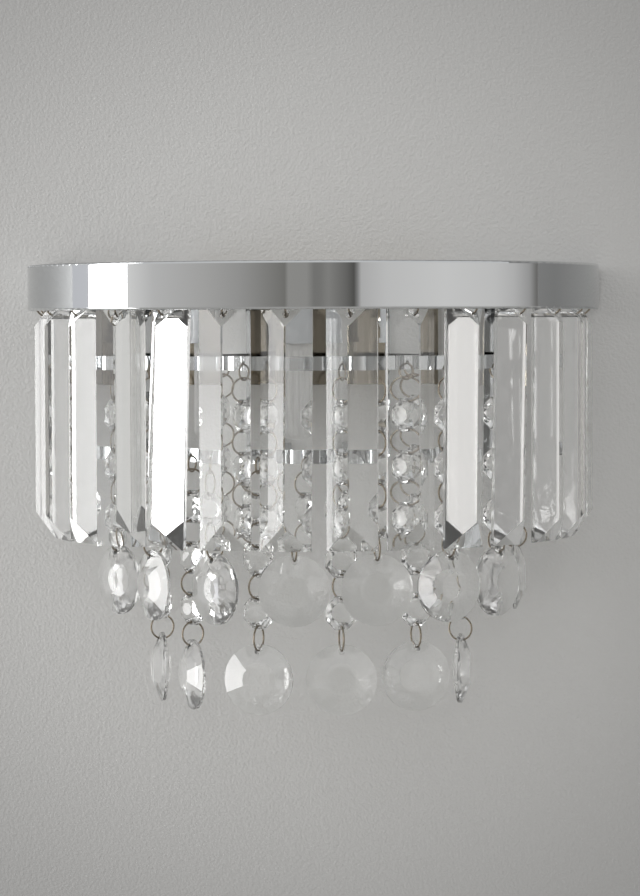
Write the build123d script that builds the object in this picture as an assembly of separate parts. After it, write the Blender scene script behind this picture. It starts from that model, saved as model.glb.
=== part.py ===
from build123d import *
from math import cos, radians, sin
import os

# Half-round crystal wall sconce, millimetres, +Z up.
# The wall is the plane Y = 0 and the sconce stands out from it towards -Y, with +X to the right.
# The origin is the middle of the wall bracket. Every ring is a half circle about one centre line,
# which stands off the wall, with straight legs back to it. Angles are measured from straight out.

# ---- rings ----
ring_centre = 18.0        # distance of the rings' centre line from the wall
wall_gap = 0.5            # the rim band's ends stop this short of the wall
cut_past = 1.0            # how far a cutting shape runs on past what it cuts

rim_radius = 125.0
rim_wall = 1.2
rim_height = 19.6
rim_bottom = 5.3
rim_rounding = 1.0        # of the rim band's outer edges

upper_hoop_radius = 88.7
lower_hoop_radius = 67.9
hoop_wall = 1.0
hoop_height = 5.8
upper_hoop_top = -14.0
lower_hoop_top = -53.4
hoop_hole_radius = 1.0
hoop_tab = 9.0            # the bent end of a hoop, flat on the side frame

rail_wall = 1.0
rail_height = 6.3
rail_edge = 2.6           # from the rail's lower edge to its holes
rail_hole_radius = 0.95
spacer_length = 8.0       # the blocks that tie the rail to the rim
spacer_angles = [-57.9, -19.3, 19.3, 57.9]

# ---- back box, wall bracket and side frames ----
box_width = 110.6
box_top = 24.8
box_bottom = -27.2
box_depth = 28.0
box_wall = 1.0
box_rounding = 0.8

bracket_width = 100.0
bracket_height = 22.0
bracket_wall = 1.5
screw_spacing = 44.0
screw_slot_length = 14.0
screw_slot_radius = 2.3
cable_hole_radius = 7.0

stud_spacing = 65.6
stud_radius = 2.0
stud_clearance = 0.3
stud_in_dome = 2.5
dome_radius = 4.2
dome_skirt = 2.4          # straight part of a dome nut, below its ball

frame_wall = 1.5
arm_height = 12.0
arm_bottom = 11.0
arm_tab = 10.0
strap_inset = 3.5         # from a hoop's leg to the edge of the strap that its tab lies on
strap_below_hoop = 1.0

# ---- lampholders and lamps ----
lamp_spacing = 82.6
lamp_from_box = 17.0      # from the box's front to the lamps' middles
plate_width = 18.0        # the bent plates that carry the lampholders
plate_wall = 1.5
plate_under = 10.0
plate_tab = 5.0
plate_nose = 11.0         # how far a plate runs on past the lamp's middle
tube_radius = 5.0
tube_bore = 3.4
tube_clearance = 0.2
tube_above = 4.5
tube_nut_radius = 7.5
tube_nut_height = 2.2
holder_radius = 10.0
holder_flange_radius = 10.6
holder_flange = 2.0
holder_bottom = -8.8
socket_radius = 8.4
socket_depth = 6.0
lamp_radius = 7.9
lamp_bottom = -50.0
lamp_end_rounding = 3.0
lamp_seat = 0.4           # gap between the lamp's top and the socket's floor
pin_radius = 0.6
pin_spacing = 9.0
pin_length = 5.0
pin_clearance = 0.4
pin_hole_depth = 8.0

# ---- wiring ----
block_width = 26.0
block_height = 10.0
block_depth = 12.0
block_middle = -12.0
block_ways = 4
way_spacing = 6.0
way_radius = 1.6
lead_radius = 0.8
lead_apart = 2.6          # between the two leads of one lamp
lead_height = 19.6
lead_hole_radius = 3.6
lead_in_tube = 5.5        # length of a lead inside the lampholder's tube
lead_in_way = 4.0
lead_bend = 4.0

# ---- wire rings ----
wire_radius = 0.4
link_play = 0.25          # free space between two linked rings
hook_ring_radius = 6.0    # the prisms' rings, to the middle of the wire
small_ring_radius = 3.35  # the rings in the hoops
link_ring_radius = 5.17   # the rings between the beads
ring_drop = 0.3           # how far a ring's top hangs under the middle of the hole that it is in
bead_drop = 0.2           # how far a hole's middle hangs under the bottom of the ring in it

# ---- prisms ----
prism_count = 15
prism_width = 21.0
prism_depth = 9.5
prism_length = 102.0
prism_top = 9.5
prism_clearance = 1.8     # between the prisms' ridges and the inside of the rim band
prism_side = 1.5          # thickness of the side edges
prism_ridge = 0.7         # width of the flat along the ridge
prism_end = 1.8           # thickness left at the bevelled ends
prism_bevel = 10.8        # length of the bevels along the ridge
prism_hole_radius = 1.25
prism_hole_below = 6.5    # from the prism's top to its hole
# How far each prism hangs turned about its own upright, and leans sideways, from left to right.
prism_turns = [0, 0, 0, 0, 29, -11, 11, 0, -18, 4, 7, 8, 0, 0, 0]
prism_leans = [0, 0, 0, 0, 0, 2.1, 0, 0.6, 0, 0, 0.8, 2.0, 0, 0, 0]

# ---- bead chains and discs ----
upper_chain_angles = [-90, -67.5, -45, -22.5, 0, 22.5, 45, 67.5, 90]
lower_chain_angles = [-75, -45, -15, 15, 45, 75]
beads_per_chain = 3
bead_width = 14.0         # across the octagon's flats
bead_facets = 8
bead_table = 5.0
bead_girdle = 0.8
bead_thickness = 7.0
bead_holes = 11.0         # between the two holes of a bead
bead_hole_radius = 1.2
disc_radius = 15.0
disc_sides = 32
disc_facets = 16
disc_table = 11.6         # across the flats of the middle facet
disc_front = 4.8
disc_back = 3.0
disc_girdle = 1.2
disc_hole = 12.0          # from the disc's middle to its hole
disc_hole_radius = 1.25
# The way that things face, as angles from straight out, from left to right: the discs, the beads
# above them, the rings between the beads, and the small rings in the hoops.
upper_disc_facing = [-90, -47, -56, -45, 5, 7, 34, 54, 90]
upper_bead_facing = [-64, -27, -30, -23, 28, 28, 33, 36, 64]
upper_link_facing = [-42, -5, -52, -45, 50, 50, 55, 14, 42]
upper_small_facing = [-90, -58, -18, -8, 0, 12, 20, 58, 90]
lower_disc_facing = [-75, -64, -11, 5, 22, 85]
lower_bead_facing = [-50, -38, -23, 27, 33, 60]
lower_link_facing = [-28, -60, -45, 49, 55, 38]
lower_small_facing = [-75, -22, -10, 10, 18, 75]

# ---- worked-out places ----
rim_inside = rim_radius - rim_wall
prism_slope = (prism_depth - prism_end) / prism_bevel
hole_thickness = prism_end + prism_slope * prism_hole_below
hang_radius = rim_inside - prism_clearance - prism_depth + hole_thickness / 2
hook_drop = hook_ring_radius - wire_radius
hook_centre = prism_top - prism_hole_below + hook_drop
rail_hole_height = hook_centre + hook_ring_radius + ring_drop
rail_bottom = rail_hole_height - rail_edge
rail_radius = hang_radius + rail_wall / 2
half_width = box_width / 2
lamp_x = lamp_spacing / 2
lamp_from_wall = box_depth + lamp_from_box
plate_top = plate_under + plate_wall
tube_top = plate_top + tube_above
socket_floor = holder_bottom + socket_depth
lamp_top = socket_floor - lamp_seat
link_step = 2 * link_ring_radius + bead_holes + 2 * bead_drop


def save(shapes, name):
    """Write one node's solids as parts/NAME.step."""
    solids = [solid for shape in shapes for solid in shape.solids()]
    node = Compound(children=solids) if len(solids) > 1 else solids[0]
    node.label = name
    export_step(node, f"parts/{name}.step")


def spot(radius, angle, height, facing):
    """A place at an angle round the rings' centre line, turned to face the given way."""
    x = radius * sin(radians(angle))
    y = -ring_centre - radius * cos(radians(angle))
    return Location((x, y, height), (0, 0, facing))


def block(x, y, z):
    """A block between two values on each axis."""
    middle = Pos((x[0] + x[1]) / 2, (y[0] + y[1]) / 2, (z[0] + z[1]) / 2)
    return middle * Box(abs(x[1] - x[0]), abs(y[1] - y[0]), abs(z[1] - z[0]))


def upright(radius, bottom, top):
    """An upright cylinder between two heights."""
    return Pos(0, 0, (bottom + top) / 2) * Cylinder(radius, top - bottom)


def rod_out(radius, start, end):
    """A cylinder along Y between two distances in front of Y = 0."""
    return Pos(0, -(start + end) / 2, 0) * Rot(90, 0, 0) * Cylinder(radius, end - start)


def half_round(radius, back):
    """The area inside a ring: a half disc with straight sides back to a line near the wall."""
    front = Pos(0, -ring_centre) * Circle(radius)
    front &= Pos(0, -ring_centre - radius / 2) * Rectangle(2 * radius, radius)
    return front + Pos(0, -(ring_centre + back) / 2) * Rectangle(2 * radius, ring_centre - back)


def strip(radius, wall, bottom, height, back):
    """A metal strip bent on edge to a half ring with two straight legs."""
    area = half_round(radius, back) - half_round(radius - wall, 0)
    return Pos(0, 0, bottom) * extrude(area, height)


def wire_ring(radius):
    """An upright wire ring whose plane points straight out."""
    return Rot(0, 90, 0) * Torus(radius, wire_radius)


def both_sides(shape):
    """A piece and its mirror image on the other side."""
    return [shape, mirror(shape, Plane.YZ)]


def pyramid(width, table, height, facets):
    """A polygon that tapers up to a smaller one, with its flats at top and bottom."""
    base = RegularPolygon(width / 2, facets, major_radius=False)
    top = Pos(0, 0, height) * RegularPolygon(table / 2, facets, major_radius=False)
    return loft([base, top], ruled=True)


os.makedirs("parts", exist_ok=True)

# ---- rim band ----
rim = strip(rim_radius, rim_wall, rim_bottom, rim_height, wall_gap)
long_edges = [edge for edge in rim.edges() if edge.bounding_box().size.Z < rim_wall and edge.length > rim_wall]
outer_edges = [edge for edge in long_edges if edge.bounding_box().size.X > 2 * rim_inside]
outer_edges += [edge for edge in long_edges if abs(edge.center().X) > rim_inside + rim_wall / 2]
save([fillet(ShapeList(outer_edges), rim_rounding)], "rim_band")

# ---- prism rail: the strip inside the rim band that the prisms' rings go through ----
prism_angles = [-90 + 180 * i / (prism_count - 1) for i in range(prism_count)]
rail = strip(rail_radius, rail_wall, rail_bottom, rail_height, frame_wall)
for angle in prism_angles:
    hole_place = spot(hang_radius, angle, rail_hole_height, angle)
    rail -= hole_place * rod_out(rail_hole_radius, -rail_wall, rail_wall)
gap_area = half_round(rim_inside, 0) - half_round(rail_radius - rail_wall / 2, 0)
gap_space = Pos(0, 0, rail_bottom) * extrude(gap_area, rail_height)
for angle in spacer_angles:
    spacer = spot(rim_inside, angle, rail_bottom + rail_height / 2, angle)
    spacer *= Box(spacer_length, 2 * (rim_inside - hang_radius), rail_height)
    rail += spacer & gap_space
save([rail], "prism_rail")

# ---- back box: a folded tray, open to the wall ----
tray = block((-half_width, half_width), (-box_depth, 0), (box_bottom, box_top))
tray = fillet(tray.edges().filter_by(Axis.Y), box_rounding)
tray -= block(
    (-half_width + box_wall, half_width - box_wall),
    (-box_depth + box_wall, cut_past),
    (box_bottom + box_wall, box_top - box_wall),
)
through_front = (box_depth - box_wall - cut_past, box_depth + cut_past)
for side in (-1, 1):
    stud_hole = rod_out(stud_radius + stud_clearance, *through_front)
    lead_hole = rod_out(lead_hole_radius, *through_front)
    tray -= Pos(side * stud_spacing / 2, 0, 0) * stud_hole
    tray -= Pos(side * lamp_x, 0, lead_height) * lead_hole
save([tray], "back_box")

# ---- wall bracket: a flat strip with slots for the wall screws and two welded studs ----
half_bracket = bracket_width / 2
bracket = block((-half_bracket, half_bracket), (-bracket_wall, 0), (-bracket_height / 2, bracket_height / 2))
bracket -= rod_out(cable_hole_radius, -cut_past, bracket_wall + cut_past)
slot = SlotOverall(screw_slot_length, 2 * screw_slot_radius)
for side in (-1, 1):
    slot_place = Pos(side * screw_spacing / 2, 0, 0) * Rot(90, 0, 0)
    bracket -= slot_place * extrude(slot, bracket_wall + cut_past, both=True)
    stud = rod_out(stud_radius, bracket_wall / 2, box_depth + stud_in_dome)
    bracket += Pos(side * stud_spacing / 2, 0, 0) * stud
save([bracket], "wall_bracket")

# ---- dome nuts: the two round nuts that hold the box on its studs ----
ball_middle = -box_depth - dome_skirt
dome_edge = Polyline((0, -box_depth), (dome_radius, -box_depth), (dome_radius, ball_middle))
dome_edge += CenterArc((0, ball_middle), dome_radius, 0, -90)
dome_edge += Line((0, ball_middle - dome_radius), (0, -box_depth))
dome = revolve(make_face(dome_edge), Axis.Y)
bore_end = box_depth + stud_in_dome + stud_clearance
dome -= rod_out(stud_radius + stud_clearance, box_depth - cut_past, bore_end)
save([Pos(side * stud_spacing / 2, 0, 0) * dome for side in (-1, 1)], "dome_nuts")

# ---- side frames: a plate on each side that carries the rim band, the rail and both hoops ----
arm = (arm_bottom, arm_bottom + arm_height)
strap_foot = lower_hoop_top - hoop_height - strap_below_hoop
strap_sides = (lower_hoop_radius + strap_inset, upper_hoop_radius - strap_inset)
frame = block((half_width, rim_inside), (-frame_wall, 0), arm)
frame += block(strap_sides, (-frame_wall, 0), (strap_foot, arm[1]))
frame += block((half_width, half_width + frame_wall), (-arm_tab, 0), arm)
frame += block((rim_inside - frame_wall, rim_inside), (-arm_tab, 0), arm)
save(both_sides(frame), "side_frames")


def hoop(radius, top, angles, tab_way):
    """An inner hoop: a strip with a hole for each chain, and its ends bent flat on the side frames."""
    bottom = top - hoop_height
    ring = strip(radius, hoop_wall, bottom, hoop_height, frame_wall)
    leg = radius - hoop_wall / 2
    tab = block((leg, leg + tab_way * hoop_tab), (-frame_wall - hoop_wall, -frame_wall), (bottom, top))
    for side_tab in both_sides(tab):
        ring += side_tab
    for angle in angles:
        hole_place = spot(leg, angle, top - hoop_height / 2, angle)
        ring -= hole_place * rod_out(hoop_hole_radius, -3 * hoop_wall, 3 * hoop_wall)
    return ring


save([hoop(upper_hoop_radius, upper_hoop_top, upper_chain_angles, -1)], "upper_hoop")
save([hoop(lower_hoop_radius, lower_hoop_top, lower_chain_angles, 1)], "lower_hoop")

# ---- lamp plates: bent plates on the front of the box that carry the lampholders ----
plate_sides = (-plate_width / 2, plate_width / 2)
plate = block(plate_sides, (-lamp_from_wall - plate_nose, -box_depth), (plate_under, plate_top))
plate += block(plate_sides, (-box_depth - plate_wall, -box_depth), (plate_top - plate_tab, plate_top))
plate -= Pos(0, -lamp_from_wall, 0) * upright(tube_radius + tube_clearance, 0, tube_top)
save([Pos(side * lamp_x, 0, 0) * plate for side in (-1, 1)], "lamp_plates")

# ---- lampholders: a ceramic body on a threaded tube, with a nut above the plate ----
holder = upright(holder_radius, holder_bottom, plate_under)
holder += upright(holder_flange_radius, holder_bottom, holder_bottom + holder_flange)
holder -= upright(socket_radius, holder_bottom - cut_past, socket_floor)
for side in (-1, 1):
    hole_heights = (socket_floor - cut_past, socket_floor + pin_hole_depth)
    pin_hole = upright(pin_radius + pin_clearance, *hole_heights)
    holder -= Pos(side * pin_spacing / 2, 0, 0) * pin_hole
tube = upright(tube_radius, plate_under, tube_top)
tube -= upright(tube_bore, plate_under - cut_past, tube_top + cut_past)
nut = Pos(0, 0, plate_top) * extrude(RegularPolygon(tube_nut_radius, 6), tube_nut_height)
nut -= upright(tube_radius, plate_top - cut_past, tube_top)
lamp_places = [Pos(side * lamp_x, -lamp_from_wall, 0) for side in (-1, 1)]
save([place * piece for place in lamp_places for piece in (holder, tube, nut)], "lampholders")

# ---- lamps: two-pin capsules, pushed up into the holders ----
lamp = upright(lamp_radius, lamp_bottom, lamp_top)
lamp = fillet(lamp.edges().sort_by(Axis.Z)[0], lamp_end_rounding)
for side in (-1, 1):
    lamp += Pos(side * pin_spacing / 2, 0, 0) * upright(pin_radius, lamp_top - pin_radius, lamp_top + pin_length)
save([lamp_places[0] * lamp], "lamp_left")
save([lamp_places[1] * lamp], "lamp_right")

# ---- terminal block and the leads of the lampholders ----
block_front = box_wall - box_depth
block_back = block_front + block_depth
block_y = (block_front + block_back) / 2
block_top = block_middle + block_height / 2
block_sides = (-block_width / 2, block_width / 2)
terminals = block(block_sides, (block_front, block_back), (block_top - block_height, block_top))
way_places = [(i - (block_ways - 1) / 2) * way_spacing for i in range(block_ways)]
for way in way_places:
    terminals -= Pos(way, block_y, 0) * upright(way_radius, block_middle - block_height, block_top + cut_past)
save([terminals], "terminal_block")

leads = []
for side in (-1, 1):
    for level, way in zip((-1, 1), (way_places[-1], way_places[-2])):
        start_y = -lamp_from_wall - level * lead_apart / 2
        height = lead_height + level * lead_apart / 2
        route = FilletPolyline(
            (side * lamp_x, start_y, tube_top - lead_in_tube),
            (side * lamp_x, start_y, height),
            (side * lamp_x, block_y, height),
            (side * way, block_y, height),
            (side * way, block_y, block_top - lead_in_way),
            radius=lead_bend,
        )
        leads.append(sweep(Plane(route @ 0, z_dir=route % 0) * Circle(lead_radius), path=route))
save(leads, "holder_leads")

# ---- hanging prisms ----
# A prism is drawn round its own hole, with its flat back behind and its ridge in front.
back = hole_thickness / 2
ridge = back - prism_depth
top = prism_hole_below
bottom = prism_hole_below - prism_length
outline = make_face(Polyline(
    (-prism_width / 2, back),
    (prism_width / 2, back),
    (prism_width / 2, back - prism_side),
    (prism_ridge / 2, ridge),
    (-prism_ridge / 2, ridge),
    (-prism_width / 2, back - prism_side),
    close=True,
))
prism = Pos(0, 0, bottom) * extrude(outline, prism_length)
end_y = back - prism_end
wedge_length = prism_bevel + cut_past
for end, inwards in ((top, -1), (bottom, 1)):
    wedge = make_face(Plane.YZ * Polyline(
        (end_y + cut_past * prism_slope, end - inwards * cut_past),
        (end_y - wedge_length * prism_slope, end + inwards * wedge_length),
        (end_y - wedge_length * prism_slope, end - inwards * cut_past),
        close=True,
    ))
    prism -= extrude(wedge, prism_width, both=True)
prism -= rod_out(prism_hole_radius, -prism_depth, prism_depth)

rings = []
for i, angle in enumerate(prism_angles):
    place = spot(hang_radius, angle, hook_centre, angle + prism_turns[i])
    rings.append(place * wire_ring(hook_ring_radius))
    hanging = place * Pos(0, 0, -hook_drop) * Rot(0, prism_leans[i], 0) * prism
    save([hanging], f"prism_{i + 1:02d}")

# ---- bead chains, each with a disc ----
# A bead and a disc are drawn lying flat and then stood up to face straight out.
bead = extrude(RegularPolygon(bead_width / 2, bead_facets, major_radius=False), bead_girdle / 2, both=True)
half_bead = pyramid(bead_width, bead_table, (bead_thickness - bead_girdle) / 2, bead_facets)
half_bead = Pos(0, 0, bead_girdle / 2) * half_bead
bead += half_bead
bead += mirror(half_bead, Plane.XY)
for way in (-1, 1):
    bead -= Pos(0, way * bead_holes / 2, 0) * Cylinder(bead_hole_radius, 2 * bead_thickness)
bead = Rot(90, 0, 0) * bead

facet_base = 2 * disc_radius
disc = extrude(RegularPolygon(disc_radius, disc_sides), disc_front + disc_back)
disc = Pos(0, 0, -disc_back) * disc
front_half = pyramid(facet_base, disc_table, disc_front - disc_girdle / 2, disc_facets)
front_half = Pos(0, 0, disc_girdle / 2) * front_half
back_half = pyramid(facet_base, disc_table, disc_back - disc_girdle / 2, disc_facets)
back_half = Pos(0, 0, -disc_girdle / 2) * mirror(back_half, Plane.XY)
middle = extrude(RegularPolygon(disc_radius, disc_facets, major_radius=False), disc_girdle / 2, both=True)
disc &= front_half + middle + back_half
disc -= Pos(0, disc_hole, 0) * Cylinder(disc_hole_radius, 2 * disc_front + 2 * disc_back)
disc = Rot(90, 0, 0) * Pos(0, -disc_hole, 0) * disc


def chain_tops(hoop_top):
    """Heights of a chain's parts: its small ring's middle, and its first link ring's middle."""
    small = hoop_top - hoop_height / 2 - ring_drop - small_ring_radius
    first = small - small_ring_radius + 2 * wire_radius + link_play - link_ring_radius
    return small, first


def hang_chain(radius, hoop_top, angle, facings, number, tier):
    """Write one chain and its disc, and give back the small ring that they hang on."""
    disc_way, bead_way, link_way, small_way = facings
    small, first = chain_tops(hoop_top)
    last_way = (disc_way + bead_way) / 2
    chain = []
    for i in range(beads_per_chain):
        middle_of_ring = first - i * link_step
        hole = middle_of_ring - link_ring_radius - bead_drop
        chain.append(spot(radius, angle, middle_of_ring, link_way) * wire_ring(link_ring_radius))
        chain.append(spot(radius, angle, hole - bead_holes / 2, bead_way) * bead)
    last = first - beads_per_chain * link_step
    chain.append(spot(radius, angle, last, last_way) * wire_ring(link_ring_radius))
    save(chain, f"{tier}_chain_{number}")
    disc_height = last - link_ring_radius - bead_drop
    save([spot(radius, angle, disc_height, disc_way) * disc], f"{tier}_disc_{number}")
    return spot(radius, angle, small, small_way) * wire_ring(small_ring_radius)


upper_facings = list(zip(upper_disc_facing, upper_bead_facing, upper_link_facing, upper_small_facing))
for i, angle in enumerate(upper_chain_angles):
    radius = upper_hoop_radius - hoop_wall / 2
    rings.append(hang_chain(radius, upper_hoop_top, angle, upper_facings[i], i + 1, "upper"))
lower_facings = list(zip(lower_disc_facing, lower_bead_facing, lower_link_facing, lower_small_facing))
for i, angle in enumerate(lower_chain_angles):
    radius = lower_hoop_radius - hoop_wall / 2
    rings.append(hang_chain(radius, lower_hoop_top, angle, lower_facings[i], i + 1, "lower"))
save(rings, "hanging_rings")
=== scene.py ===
import bmesh
import bpy
import numpy as np
from math import pi, radians
from mathutils import Matrix


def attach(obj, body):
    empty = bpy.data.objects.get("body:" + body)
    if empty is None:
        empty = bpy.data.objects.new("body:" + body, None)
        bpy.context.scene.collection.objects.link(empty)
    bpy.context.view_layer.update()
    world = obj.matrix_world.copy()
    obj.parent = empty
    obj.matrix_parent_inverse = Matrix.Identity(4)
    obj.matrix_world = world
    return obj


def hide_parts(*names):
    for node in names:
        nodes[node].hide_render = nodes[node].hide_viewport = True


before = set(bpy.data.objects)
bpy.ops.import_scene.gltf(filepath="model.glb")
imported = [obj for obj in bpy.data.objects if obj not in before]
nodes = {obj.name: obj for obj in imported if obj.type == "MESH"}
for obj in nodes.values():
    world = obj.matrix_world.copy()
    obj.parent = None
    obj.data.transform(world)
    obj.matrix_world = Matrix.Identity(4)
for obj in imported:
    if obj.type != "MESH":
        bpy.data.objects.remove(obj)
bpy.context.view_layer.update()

# ---- The wall ----
# The sconce hangs on a painted panel, matt, with the fine grain that a roller leaves.
# It is only the backdrop, so it stays out of the object. A pool of light is painted into its colour: palest
# behind the sconce, darker towards the panel's edges.
WALL_LEFT, WALL_RIGHT = -0.472, 0.447
WALL_HALF_HEIGHT = 1.5
WALL_GAP = 0.0004
# The painted pool of light: its centre, its lit colour in the middle, its dim colour at the edges, and the
# distances over which it fades.
LIGHT_POOL_CENTRE = (0.0, 0, -0.05)
WALL_POOL_LIT, WALL_POOL_DIM = (0.76, 0.76, 0.75, 1), (0.36, 0.36, 0.357, 1)
LIGHT_POOL_FADE = (0.02, 0.30)
ROLLER_GRAIN = 800.0
ROLLER_DEPTH = 0.0005


def new_finish(name, **sockets):
    """A material with one Principled shader, and that shader, so that each finish can add its own detail."""
    material = bpy.data.materials.new(name)
    material.use_nodes = True
    shader = material.node_tree.nodes["Principled BSDF"]
    for socket, value in sockets.items():
        shader.inputs[socket.replace("_", " ")].default_value = value
    return material, shader


def add_node(tree, kind, **inputs):
    """A shader node of that kind with some of its inputs set."""
    node = tree.nodes.new(kind)
    for socket, value in inputs.items():
        node.inputs[socket.replace("_", " ")].default_value = value
    return node


def blend_colours(tree, amount, low, high):
    """A mix of two colours by an amount from 0 to 1; each colour is written out or another node's output."""
    node = tree.nodes.new("ShaderNodeMix")
    node.data_type = "RGBA"
    tree.links.new(amount, node.inputs[0])
    for socket, value in ((node.inputs[6], low), (node.inputs[7], high)):
        if isinstance(value, tuple):
            socket.default_value = value
        else:
            tree.links.new(value, socket)
    return node.outputs[2]


def ramp_from(tree, value, start, end):
    """A value drawn out so that start gives 0 and end gives 1, with a soft beginning and end."""
    node = add_node(tree, "ShaderNodeMapRange", From_Min=start, From_Max=end)
    node.interpolation_type = "SMOOTHSTEP"
    tree.links.new(value, node.inputs["Value"])
    return node.outputs[0]


def shape(points, *groups):
    """A shape as three flat arrays: its points, its faces' corners one after the other, and each face's
    number of corners. Each group holds faces that have the same number of corners."""
    corners = np.concatenate([np.ravel(group) for group in groups])
    counts = np.concatenate([np.full(len(group), np.shape(group)[1]) for group in groups])
    return np.asarray(points, float).reshape(-1, 3), corners, counts


def new_object(name, drawn, smooth=False):
    """An object with a mesh made from a shape."""
    points, corners, counts = drawn
    mesh = bpy.data.meshes.new(name)
    mesh.vertices.add(len(points))
    mesh.vertices.foreach_set("co", points.ravel())
    mesh.loops.add(len(corners))
    mesh.loops.foreach_set("vertex_index", corners.astype(np.int32))
    mesh.polygons.add(len(counts))
    mesh.polygons.foreach_set("loop_start", (np.cumsum(counts) - counts).astype(np.int32))
    mesh.polygons.foreach_set("use_smooth", np.broadcast_to(smooth, len(counts)))
    mesh.update(calc_edges=True)
    piece = bpy.data.objects.new(name, mesh)
    bpy.context.scene.collection.objects.link(piece)
    return piece


wall_ends = ((WALL_LEFT, -1), (WALL_RIGHT, -1), (WALL_RIGHT, 1), (WALL_LEFT, 1))
wall_corners = [(x, WALL_GAP, end * WALL_HALF_HEIGHT) for x, end in wall_ends]
wall = new_object("wall", shape(wall_corners, [(0, 1, 2, 3)]))
wall_paint_and_light_pool, shader = new_finish("wall_paint_and_light_pool", Roughness=0.45, Specular_IOR_Level=0.6)
tree = wall_paint_and_light_pool.node_tree
place = tree.nodes.new("ShaderNodeTexCoord")
reach = tree.nodes.new("ShaderNodeVectorMath")
reach.operation = "DISTANCE"
reach.inputs[1].default_value = LIGHT_POOL_CENTRE
tree.links.new(place.outputs["Object"], reach.inputs[0])
# The base colour is a painted pool of light, not the paint's own colour: lit in the middle, fading to dim
# away from the centre.
out_of_light_pool = ramp_from(tree, reach.outputs["Value"], *LIGHT_POOL_FADE)
tree.links.new(blend_colours(tree, out_of_light_pool, WALL_POOL_LIT, WALL_POOL_DIM), shader.inputs["Base Color"])
roller = add_node(tree, "ShaderNodeTexNoise", Scale=ROLLER_GRAIN, Detail=2.0)
lift = add_node(tree, "ShaderNodeBump", Strength=0.5, Distance=ROLLER_DEPTH)
tree.links.new(place.outputs["Object"], roller.inputs["Vector"])
tree.links.new(roller.outputs["Fac"], lift.inputs["Height"])
tree.links.new(lift.outputs["Normal"], shader.inputs["Normal"])
# From behind, the panel lets the eye through, so that the sconce's back can be seen.
side_seen = tree.nodes.new("ShaderNodeNewGeometry")
see_through = tree.nodes.new("ShaderNodeBsdfTransparent")
one_sided = tree.nodes.new("ShaderNodeMixShader")
tree.links.new(side_seen.outputs["Backfacing"], one_sided.inputs[0])
tree.links.new(shader.outputs[0], one_sided.inputs[1])
tree.links.new(see_through.outputs[0], one_sided.inputs[2])
tree.links.new(one_sided.outputs[0], tree.nodes["Material Output"].inputs["Surface"])
wall.data.materials.append(wall_paint_and_light_pool)

# ---- The room ----
# Plain walls all round, seen by the chrome and the glass as soft upright bands: palest at the two
# sides, darkest straight in front. The ceiling is pale and the floor a little darker.
# Each band: direction in degrees from straight out, brightness, warmth.
ROOM_BANDS = [
    (-120, 0.80, -2), (-97, 0.86, -2), (-72, 1.02, 0), (-60, 0.76, 0), (-37, 0.60, 0.5), (-24, 0.49, 0.5),
    (-14, 0.37, 1), (-5.4, 0.27, 1.5), (-4.4, 0.43, 1), (3.5, 0.42, 1), (5, 0.29, 1), (8, 0.29, 1),
    (11, 0.36, 1), (18, 0.22, 1), (22.2, 0.10, 1.5), (22.9, 0.68, 0), (34, 0.84, 0), (58, 0.94, 0),
    (81, 0.86, 0), (91, 0.73, 0), (100, 0.50, 0), (104, 0.24, 1), (120, 0.60, 0),
]
CEILING = (0.84, 0.84, 0.84, 1)
FLOOR = (0.52, 0.51, 0.49, 1)
SEEN_PAST_WALL = (0.62, 0.62, 0.61, 1)
TO_CEILING, TO_FLOOR = (0.06, 0.30), (-0.14, -0.40)

world = bpy.data.worlds.new("room")
bpy.context.scene.world = world
world.use_nodes = True
tree = world.node_tree
tree.nodes.clear()


def math_node(kind, a, b=0.0):
    """One sum on the room's values; a and b are numbers or other nodes' outputs."""
    node = tree.nodes.new("ShaderNodeMath")
    node.operation = kind
    for socket, value in zip(node.inputs, (a, b)):
        if isinstance(value, (int, float)):
            socket.default_value = value
        else:
            tree.links.new(value, socket)
    return node.outputs[0]


way = tree.nodes.new("ShaderNodeTexCoord")
parts = tree.nodes.new("ShaderNodeSeparateXYZ")
tree.links.new(way.outputs["Generated"], parts.inputs[0])
azimuth = math_node("ARCTAN2", parts.outputs[0], math_node("MULTIPLY", parts.outputs[1], -1.0))
turn = math_node("ADD", math_node("DIVIDE", azimuth, 2 * pi), 0.5)
bands = tree.nodes.new("ShaderNodeValToRGB")
tree.links.new(turn, bands.inputs[0])
stops = bands.color_ramp.elements
for i, (angle, tone, warmth) in enumerate(ROOM_BANDS):
    stop = stops[i] if i < 2 else stops.new(angle / 360 + 0.5)
    stop.position = angle / 360 + 0.5
    red, blue = 1.02 + 0.01 * warmth, 0.98 - 0.03 * warmth      # warmer is redder and less blue
    stop.color = (tone * red, tone, tone * blue, 1)
up = parts.outputs[2]
room = blend_colours(tree, ramp_from(tree, up, *TO_CEILING), bands.outputs[0], CEILING)
room = blend_colours(tree, ramp_from(tree, up, *TO_FLOOR), room, FLOOR)
rays = tree.nodes.new("ShaderNodeLightPath")
room = blend_colours(tree, rays.outputs["Is Camera Ray"], room, SEEN_PAST_WALL)
background = tree.nodes.new("ShaderNodeBackground")
output = tree.nodes.new("ShaderNodeOutputWorld")
tree.links.new(room, background.inputs[0])
tree.links.new(background.outputs[0], output.inputs[0])

# One tall soft light stands beside the wall panel on the left and shines across it.
SIDE_LIGHT_X = -0.90
SIDE_LIGHT_NEAR, SIDE_LIGHT_FAR = -0.050, -0.384
SIDE_LIGHT_HEIGHT = 1.2
SIDE_LIGHT_MIDDLE = 0.05
SIDE_LIGHT_BRIGHTNESS = 5.5
SIDE_LIGHT_COLOUR = (1, 0.995, 0.99)

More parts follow.
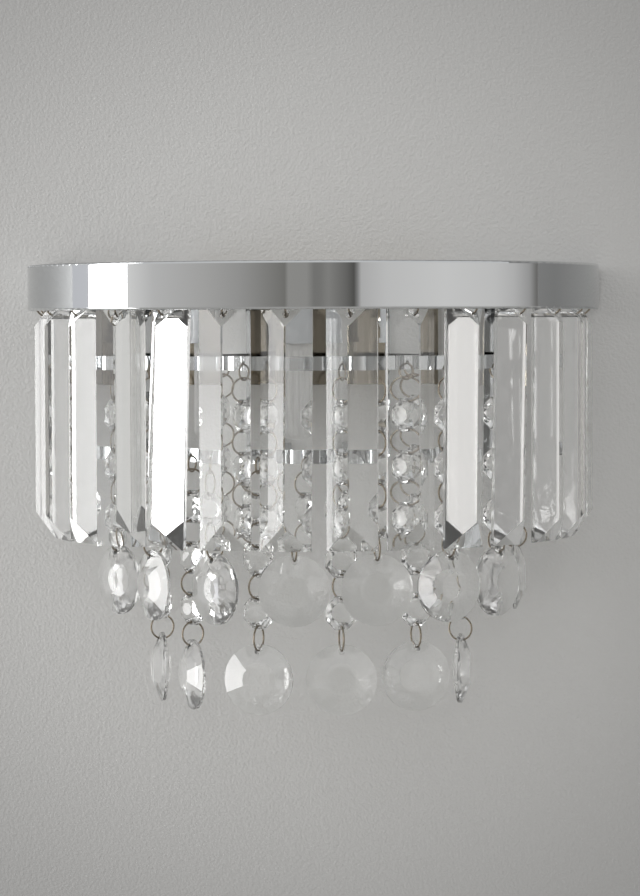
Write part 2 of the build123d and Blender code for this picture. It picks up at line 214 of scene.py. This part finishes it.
side_light = bpy.data.lights.new("side_light", "AREA")
side_light.shape = "RECTANGLE"
side_light.size = SIDE_LIGHT_HEIGHT
side_light.size_y = SIDE_LIGHT_NEAR - SIDE_LIGHT_FAR
side_light.energy = SIDE_LIGHT_BRIGHTNESS * pi * side_light.size * side_light.size_y
side_light.color = SIDE_LIGHT_COLOUR
side_light_object = bpy.data.objects.new("side_light", side_light)
side_light_place = (SIDE_LIGHT_X, (SIDE_LIGHT_NEAR + SIDE_LIGHT_FAR) / 2, SIDE_LIGHT_MIDDLE)
side_light_object.matrix_world = Matrix.Translation(side_light_place) @ Matrix.Rotation(radians(-90), 4, "Y")
side_light_object.visible_camera = False
bpy.context.scene.collection.objects.link(side_light_object)

# ---- The camera ----
# It stands a little to the right of the sconce, level with its upper half, and far back.
CAMERA_PLACE = (0.1286, -1.3835, 0.0005)
CAMERA_TURN, CAMERA_DIP, CAMERA_ROLL = 5.268, 2.328, -0.206
CAMERA_SENSOR, CAMERA_LENS = 36, 175.6

camera_data = bpy.data.cameras.new("camera")
camera_data.sensor_fit = "HORIZONTAL"
camera_data.sensor_width = CAMERA_SENSOR
camera_data.lens = CAMERA_LENS
camera = bpy.data.objects.new("camera", camera_data)
camera.matrix_world = (
    Matrix.Translation(CAMERA_PLACE)
    @ Matrix.Rotation(radians(CAMERA_TURN), 4, "Z")
    @ Matrix.Rotation(radians(90 - CAMERA_DIP), 4, "X")
    @ Matrix.Rotation(radians(CAMERA_ROLL), 4, "Z")
)
bpy.context.scene.collection.objects.link(camera)
bpy.context.scene.camera = camera
bpy.context.scene.view_settings.view_transform = "Standard"

# ---- Chromed strips ----
# The rim band, the rail, the two hoops, the box and its plates are steel sheet, cut, bent, polished
# and chromed. The polish leaves a faint haze, and the plating is a little uneven.


def polish_marks():
    """A node group: faint rub marks of a polished metal, as a roughness and a height."""
    group = bpy.data.node_groups.new("polish_marks", "ShaderNodeTree")
    for name, value in (("Roughness", 0.05), ("Haze", 0.05), ("Size", 60.0)):
        socket = group.interface.new_socket(name, in_out="INPUT", socket_type="NodeSocketFloat")
        socket.default_value = value
    for name in ("Roughness", "Height"):
        group.interface.new_socket(name, in_out="OUTPUT", socket_type="NodeSocketFloat")
    inside = group.nodes.new("NodeGroupInput")
    outside = group.nodes.new("NodeGroupOutput")
    where = group.nodes.new("ShaderNodeTexCoord")
    cloud = group.nodes.new("ShaderNodeTexNoise")
    cloud.inputs["Detail"].default_value = 4
    scale = group.nodes.new("ShaderNodeMath")
    scale.operation = "MULTIPLY_ADD"
    group.links.new(where.outputs["Object"], cloud.inputs["Vector"])
    group.links.new(inside.outputs["Size"], cloud.inputs["Scale"])
    group.links.new(cloud.outputs["Fac"], scale.inputs[0])
    group.links.new(inside.outputs["Haze"], scale.inputs[1])
    group.links.new(inside.outputs["Roughness"], scale.inputs[2])
    group.links.new(scale.outputs[0], outside.inputs["Roughness"])
    group.links.new(cloud.outputs["Fac"], outside.inputs["Height"])
    return group


polish = polish_marks()


def polished(material, shader, roughness, haze, size, lift_height):
    """Add the polish marks to a finish, with its own roughness, haze and size of mark."""
    tree = material.node_tree
    marks = tree.nodes.new("ShaderNodeGroup")
    marks.node_tree = polish
    marks.inputs["Roughness"].default_value = roughness
    marks.inputs["Haze"].default_value = haze
    marks.inputs["Size"].default_value = size
    tree.links.new(marks.outputs["Roughness"], shader.inputs["Roughness"])
    if lift_height:
        lift = add_node(tree, "ShaderNodeBump", Strength=1.0, Distance=lift_height)
        tree.links.new(marks.outputs["Height"], lift.inputs["Height"])
        tree.links.new(lift.outputs["Normal"], shader.inputs["Normal"])


def finish(material, *names):
    """Give CAD nodes a finish."""
    for name in names:
        for held in nodes[name].material_slots:
            held.material = material


chrome, shader = new_finish("chrome", Metallic=1.0, Base_Color=(0.555, 0.57, 0.58, 1))
polished(chrome, shader, roughness=0.015, haze=0.02, size=30.0, lift_height=0.000002)
finish(chrome, "rim_band", "prism_rail", "upper_hoop", "lower_hoop", "lamp_plates", "side_frames")

# The box is polished too, with a warmer plating.
box_chrome, shader = new_finish("box_chrome", Metallic=1.0, Base_Color=(0.31, 0.28, 0.23, 1))
polished(box_chrome, shader, roughness=0.03, haze=0.03, size=30.0, lift_height=0.000003)
finish(box_chrome, "back_box")

bright_chrome, shader = new_finish("bright_chrome", Metallic=1.0, Base_Color=(0.80, 0.80, 0.79, 1))
polished(bright_chrome, shader, roughness=0.03, haze=0.04, size=200.0, lift_height=0.000002)
finish(bright_chrome, "dome_nuts")

# ---- Wall bracket ----
# A flat strip of zinc-plated steel with two welded studs, hidden in the box.
zinc, shader = new_finish("zinc", Metallic=1.0, Base_Color=(0.62, 0.63, 0.64, 1))
polished(zinc, shader, roughness=0.28, haze=0.15, size=180.0, lift_height=0.00001)
finish(zinc, "wall_bracket")

# ---- Lampholders and wiring ----
# Pale grey glazed ceramic on a threaded tube, a moulded terminal block, and leads in a woven sleeve.
CERAMIC_GREY = (0.52, 0.54, 0.56, 1)
ceramic, shader = new_finish("ceramic", Base_Color=CERAMIC_GREY, Coat_Weight=0.4, Coat_Roughness=0.08)
polished(ceramic, shader, roughness=0.22, haze=0.1, size=140.0, lift_height=0.00001)
finish(ceramic, "lampholders")

block_plastic, shader = new_finish("block_plastic", Base_Color=(0.82, 0.82, 0.80, 1))
polished(block_plastic, shader, roughness=0.42, haze=0.12, size=260.0, lift_height=0.00001)
finish(block_plastic, "terminal_block")

sleeve, shader = new_finish("sleeve", Base_Color=(0.80, 0.79, 0.74, 1))
polished(sleeve, shader, roughness=0.6, haze=0.2, size=900.0, lift_height=0.00006)
finish(sleeve, "holder_leads")

# ---- Wire rings ----
# Bent from hard silvered wire that has darkened. Each prism has one, and so has each hole in the hoops.
wire, shader = new_finish("wire", Metallic=1.0, Base_Color=(0.30, 0.26, 0.21, 1))
polished(wire, shader, roughness=0.16, haze=0.15, size=500.0, lift_height=0.000004)
finish(wire, "hanging_rings")

# ---- Prisms and discs ----
# Clear lead glass, cut and polished. A prism has a flat back, a ridge in front and bevelled ends. A disc
# is cut on both sides, with a flat middle and sixteen long facets round it.
CLEAR = (0.985, 0.99, 0.985, 1)
RUB_MARK_SIZE = 55.0


def cut_glass(name, haze, ior):
    """Clear glass with a trace of a white haze, as fine dust and hand polishing leave it."""
    glass, shader = new_finish(name, Base_Color=CLEAR, IOR=ior, Transmission_Weight=1 - haze)
    polished(glass, shader, roughness=0.0, haze=0.010, size=RUB_MARK_SIZE, lift_height=0)
    return glass


prism_glass = cut_glass("prism_glass", haze=0.045, ior=1.52)
prisms = sorted(name for name in nodes if name.startswith("prism_") and name != "prism_rail")
finish(prism_glass, *prisms)
disc_glass = cut_glass("disc_glass", haze=0.07, ior=1.62)
finish(disc_glass, *[name for name in nodes if "_disc_" in name])

# ---- Bead chains ----
# Each chain hangs from its hoop: four wire rings with a two-holed, eight-sided cut bead between
# each two of them. The beads are cut like little jewels on both sides.
MM = 0.001
RINGS_CENTRE = -18.0
WIRE = 0.4
LINK_RING = 5.17
BEAD_HOLES = 11.0
BEAD_HOLE_RADIUS = 1.2
BEAD_TABLE = (2.706, 3.5)       # the radius of the table's corners, and their depth
BEAD_STAR = (5.1, 2.223)        # the same for the star facets' tips
BEAD_GIRDLE = (7.577, 0.4)      # and for the girdle's corners
BEAD_HALF_DEPTH = 5.0
HOLE_DROP = 0.2
LINK_STEP = 2 * LINK_RING + BEAD_HOLES + 2 * HOLE_DROP
# For each hoop: its chains' distance from the hoops' centre, the first link's height, the angles at which
# the chains hang, and the ways that their discs, beads and links face, from left to right.
CHAINS = {
    "upper": dict(
        radius=88.2,
        first=-28.02,
        angles=[-90, -67.5, -45, -22.5, 0, 22.5, 45, 67.5, 90],
        discs=[-90, -47, -56, -45, 5, 7, 34, 54, 90],
        beads=[-64, -27, -30, -23, 28, 28, 33, 36, 64],
        links=[-42, -5, -52, -45, 50, 50, 55, 14, 42],
    ),
    "lower": dict(
        radius=67.4,
        first=-67.42,
        angles=[-75, -45, -15, 15, 45, 75],
        discs=[-75, -64, -11, 5, 22, 85],
        beads=[-50, -38, -23, 27, 33, 60],
        links=[-28, -60, -45, 49, 55, 38],
    ),
}


def wire_ring(radius, wire, around=56, across=10):
    """An upright ring in the plane x = 0: a circle of the wire's size carried round the ring's circle."""
    round_ring, round_wire = np.arange(around) * 2 * pi / around, np.arange(across) * 2 * pi / across
    u, v = np.meshgrid(round_ring, round_wire, indexing="ij")
    reach = radius + wire * np.cos(v)
    points = np.stack([wire * np.sin(v), reach * np.cos(u), reach * np.sin(u)], -1)
    i, j = np.meshgrid(np.arange(around), np.arange(across), indexing="ij")
    a, b = i * across + j, i * across + (j + 1) % across
    c, d = (i + 1) % around * across + (j + 1) % across, (i + 1) % around * across + j
    return shape(points, np.stack([a, b, c, d], -1).reshape(-1, 4))


def cut_bead(sides=8):
    """A bead facing -Y, from three rings of eight points a side, each at its own radius and depth. Each side
    has an eight-sided table, eight star facets, eight kites and eight girdle facets."""
    n = np.arange(sides)
    step, half_step = n * 2 * pi / sides, pi / sides
    front = [
        np.stack([radius * np.sin(step + turn), np.full(sides, -depth), radius * np.cos(step + turn)], -1)
        for (radius, depth), turn in ((BEAD_TABLE, half_step), (BEAD_STAR, 0), (BEAD_GIRDLE, half_step))
    ]
    back = [ring * (1, -1, 1) for ring in front]
    after, before = (n + 1) % sides, (n - 1) % sides
    star, rim, other_side = sides, 2 * sides, 3 * sides
    table = n[None, ::-1]
    stars = np.stack([n, before, n + star], -1)
    kites = np.stack([n + star, n + rim, after + star, n], -1)
    skirts = np.stack([before + rim, n + rim, n + star], -1)
    girdle = np.stack([n + rim, after + rim, after + rim + other_side, n + rim + other_side], -1)
    front_faces = (table, stars, kites, skirts)
    back_faces = [group[:, ::-1] + other_side for group in front_faces]
    return shape(np.concatenate(front + back), *front_faces, *back_faces, girdle)


def rod(radius, ends):
    """A closed rod between two points that differ along one axis: a regular polygon's corners round each
    point, joined straight across."""
    start, end = np.asarray(ends, float)
    along = int(np.argmax(np.abs(end - start)))
    across = [axis for axis in range(3) if axis != along]
    sides = 20
    turn = np.arange(sides) * 2 * pi / sides
    ring = np.zeros((sides, 3))
    ring[:, across[0]], ring[:, across[1]] = radius * np.cos(turn), radius * np.sin(turn)
    n = np.arange(sides)
    walls = np.stack([n, (n + 1) % sides, (n + 1) % sides + sides, n + sides], -1)
    return shape(np.concatenate([ring + start, ring + end]), walls, n[None, ::-1], n[None] + sides)


def face_outwards(mesh):
    """Turn a closed mesh's faces outwards."""
    work = bmesh.new()
    work.from_mesh(mesh)
    bmesh.ops.recalc_face_normals(work, faces=work.faces)
    work.to_mesh(mesh)
    work.free()


def drilled_bead():
    """The cut bead less two rods, one for each hole, read back as a shape."""
    body = new_object("bead_blank", cut_bead())
    face_outwards(body.data)
    drills = []
    for height in (-BEAD_HOLES / 2, BEAD_HOLES / 2):
        ends = [(0, -BEAD_HALF_DEPTH, height), (0, BEAD_HALF_DEPTH, height)]
        drill = new_object("drill", rod(BEAD_HOLE_RADIUS, ends))
        face_outwards(drill.data)
        cut = body.modifiers.new("hole", "BOOLEAN")
        cut.operation = "DIFFERENCE"
        cut.solver = "EXACT"
        cut.object = drill
        drills.append(drill)
    bpy.context.view_layer.update()
    mesh = bpy.data.meshes.new_from_object(body.evaluated_get(bpy.context.evaluated_depsgraph_get()))
    points = np.empty(3 * len(mesh.vertices))
    mesh.vertices.foreach_get("co", points)
    corners, counts = np.empty(len(mesh.loops), np.int32), np.empty(len(mesh.polygons), np.int32)
    mesh.loops.foreach_get("vertex_index", corners)
    mesh.polygons.foreach_get("loop_total", counts)
    for piece in drills + [body]:
        bpy.data.objects.remove(piece)
    return points.reshape(-1, 3), corners, counts


def put(drawn, radius, angle, height, facing):
    """A shape drawn at the origin, turned about the upright to face its way and moved to its place."""
    points, corners, counts = drawn
    c, s = np.cos(radians(facing)), np.sin(radians(facing))
    x, y, z = points.T
    turned = np.stack([c * x - s * y, s * x + c * y, z], -1)
    place = (radius * np.sin(radians(angle)), RINGS_CENTRE - radius * np.cos(radians(angle)), height)
    return turned + place, corners, counts


def joined(shapes):
    """Several shapes as one: each one's corners are moved on by the number of points before it."""
    points, corners, counts = zip(*shapes)
    before = np.cumsum([0] + [len(own) for own in points[:-1]])
    corners = [own + start for own, start in zip(corners, before)]
    return np.concatenate(points), np.concatenate(corners), np.concatenate(counts)


def ride_on(body, name, drawn, material, smooth):
    """A piece drawn in millimetres that takes the place of a body's CAD node and moves with it."""
    points, corners, counts = drawn
    piece = new_object(f"{body}_{name}", (points * MM, corners, counts), smooth)
    face_outwards(piece.data)
    piece.data.materials.append(material)
    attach(piece, body)
    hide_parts(body)


bead = drilled_bead()
link_ring = wire_ring(LINK_RING, WIRE)
bead_glass = cut_glass("bead_glass", haze=0.05, ior=1.58)
for tier, hang in CHAINS.items():
    for i, angle in enumerate(hang["angles"]):
        disc_way, bead_way, link_way = hang["discs"][i], hang["beads"][i], hang["links"][i]
        heights = hang["first"] - LINK_STEP * np.arange(4)
        ways = [link_way, link_way, link_way, (disc_way + bead_way) / 2]
        rings = [put(link_ring, hang["radius"], angle, height, way) for height, way in zip(heights, ways)]
        below = heights[:3] - LINK_RING - HOLE_DROP - BEAD_HOLES / 2
        beads = [put(bead, hang["radius"], angle, height, bead_way) for height in below]
        body = f"{tier}_chain_{i + 1}"
        ride_on(body, "links", joined(rings), wire, True)
        ride_on(body, "beads", joined(beads), bead_glass, False)

# ---- Lamps ----
# Frosted capsules with long flutes pressed into the glass and two wire pins on top. They push up into
# the lampholders and pull straight down.
LAMP_X, LAMP_Y = 41.3, -45.0
LAMP_RADIUS = 7.9
LAMP_TOP, LAMP_FOOT = -3.2, -50.0
FLUTES, FLUTE_DEPTH = 18, 0.7
FOOT_ROUND, FOOT_SHARE = 3.0, 0.42      # the foot's round: its height, and its share of the radius
TOP_ROUND, TOP_INSET = 1.5, 0.6
FLUTES_FADE_FOOT, FLUTES_START, FLUTES_FADE_TOP = 4.0, 8.0, 3.0
PIN_ROOT = 0.5
PIN_RADIUS, PIN_SPACING, PIN_LENGTH = 0.6, 9.0, 5.0


def fluted_body(around=216, along=40):
    """A capsule: a circle carried down a profile that rounds in at both ends. The flutes are taken off its
    radius as the cube of a raised cosine of the angle, and fade out towards both ends."""
    height = np.linspace(LAMP_TOP, LAMP_FOOT, along)
    from_foot = height - LAMP_FOOT
    from_top = LAMP_TOP - height
    profile = LAMP_RADIUS * (1 - FOOT_SHARE * (1 - np.clip(from_foot / FOOT_ROUND, 0, 1)) ** 2)
    profile = profile - TOP_INSET * (1 - np.clip(from_top / TOP_ROUND, 0, 1)) ** 2
    depth = FLUTE_DEPTH * np.clip(from_foot / FLUTES_FADE_FOOT, 0, 1)
    depth = depth * np.clip((from_top - FLUTES_START) / FLUTES_FADE_TOP, 0, 1)
    turn = np.arange(around) * 2 * pi / around
    radius = profile[:, None] - depth[:, None] * (0.5 + 0.5 * np.cos(FLUTES * turn))[None, :] ** 3
    heights = np.repeat(height[:, None], around, 1)
    points = np.stack([radius * np.cos(turn), radius * np.sin(turn), heights], -1)
    i, j = np.meshgrid(np.arange(along - 1), np.arange(around), indexing="ij")
    a, b = i * around + j, i * around + (j + 1) % around
    walls = np.stack([a, a + around, b + around, b], -1).reshape(-1, 4)
    top, foot = np.arange(around)[None], np.arange((along - 1) * around, along * around)[None, ::-1]
    return shape(points, walls, top, foot)


frosted, shader = new_finish("frosted", Base_Color=(0.93, 0.93, 0.92, 1), Transmission_Weight=0.35, IOR=1.46)
polished(frosted, shader, roughness=0.3, haze=0.1, size=200.0, lift_height=0.00002)
pins = [
    rod(PIN_RADIUS, [(x, 0, LAMP_TOP - PIN_ROOT), (x, 0, LAMP_TOP + PIN_LENGTH)])
    for x in (-PIN_SPACING / 2, PIN_SPACING / 2)
]
lamp_points, lamp_corners, lamp_counts = joined([fluted_body(), *pins])
for side, body in ((-1, "lamp_left"), (1, "lamp_right")):
    placed = lamp_points + (side * LAMP_X, LAMP_Y, 0)
    ride_on(body, "glass", (placed, lamp_corners, lamp_counts), frosted, lamp_counts == 4)

# ---- Finish ----
# Light crosses many faces of cut glass before it comes out, so it is followed for many bounces.
GLASS_BOUNCES = 24
bpy.context.scene.cycles.max_bounces = GLASS_BOUNCES
bpy.context.scene.cycles.transmission_bounces = GLASS_BOUNCES
